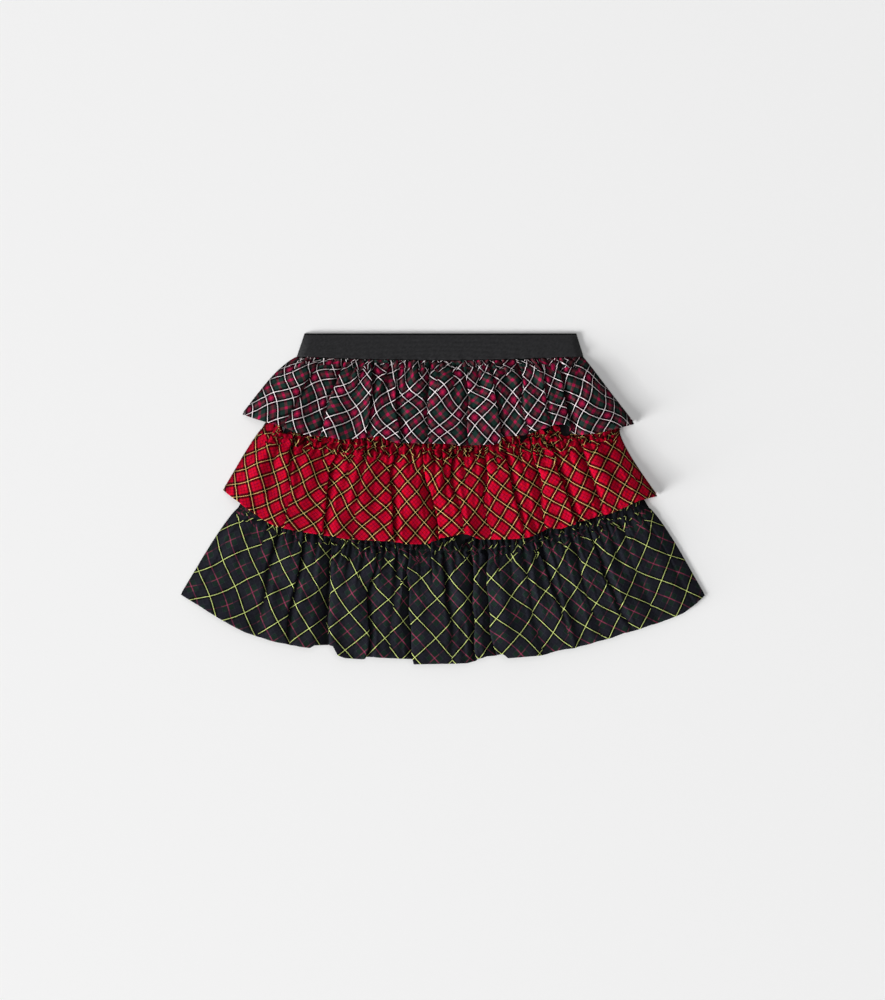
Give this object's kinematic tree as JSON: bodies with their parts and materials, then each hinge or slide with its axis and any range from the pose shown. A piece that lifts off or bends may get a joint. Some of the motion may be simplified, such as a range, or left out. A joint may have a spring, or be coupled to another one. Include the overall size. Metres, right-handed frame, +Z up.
{
  "type": "flat laid tiered ruffle skirt",
  "caption": "Girl's skirt of gathered bias-cut tartan ruffles on an elastic waistband and plain underskirt, laid flat on its back.",
  "frame": {"origin": "centre of the skirt's outline, on the surface that it lies on", "axes": "+X along the waistband to the right as seen from above, +Y from the hem to the waistband, +Z up from the surface"},
  "size_m": [0.524, 0.3309, 0.0174],
  "materials": {
    "black_elastic": "matt knitted elastic",
    "black_cotton": "matt plain cotton",
    "white_line_tartan": "matt cotton twill, crimson, green and black with white lines",
    "red_tartan": "matt cotton twill, red with black and yellow lines",
    "navy_tartan": "matt cotton twill, navy, green and black with yellow lines"
  },
  "bodies": {
    "root": {"waistband_front": "black_elastic", "waistband_back": "black_elastic", "underskirt_front": "black_cotton", "underskirt_back": "black_cotton", "tier_1_front": "white_line_tartan", "tier_1_back": "white_line_tartan", "tier_2_front": "red_tartan", "tier_2_back": "red_tartan", "tier_3_front": "navy_tartan", "tier_3_back": "navy_tartan"}
  },
  "joints": []
}
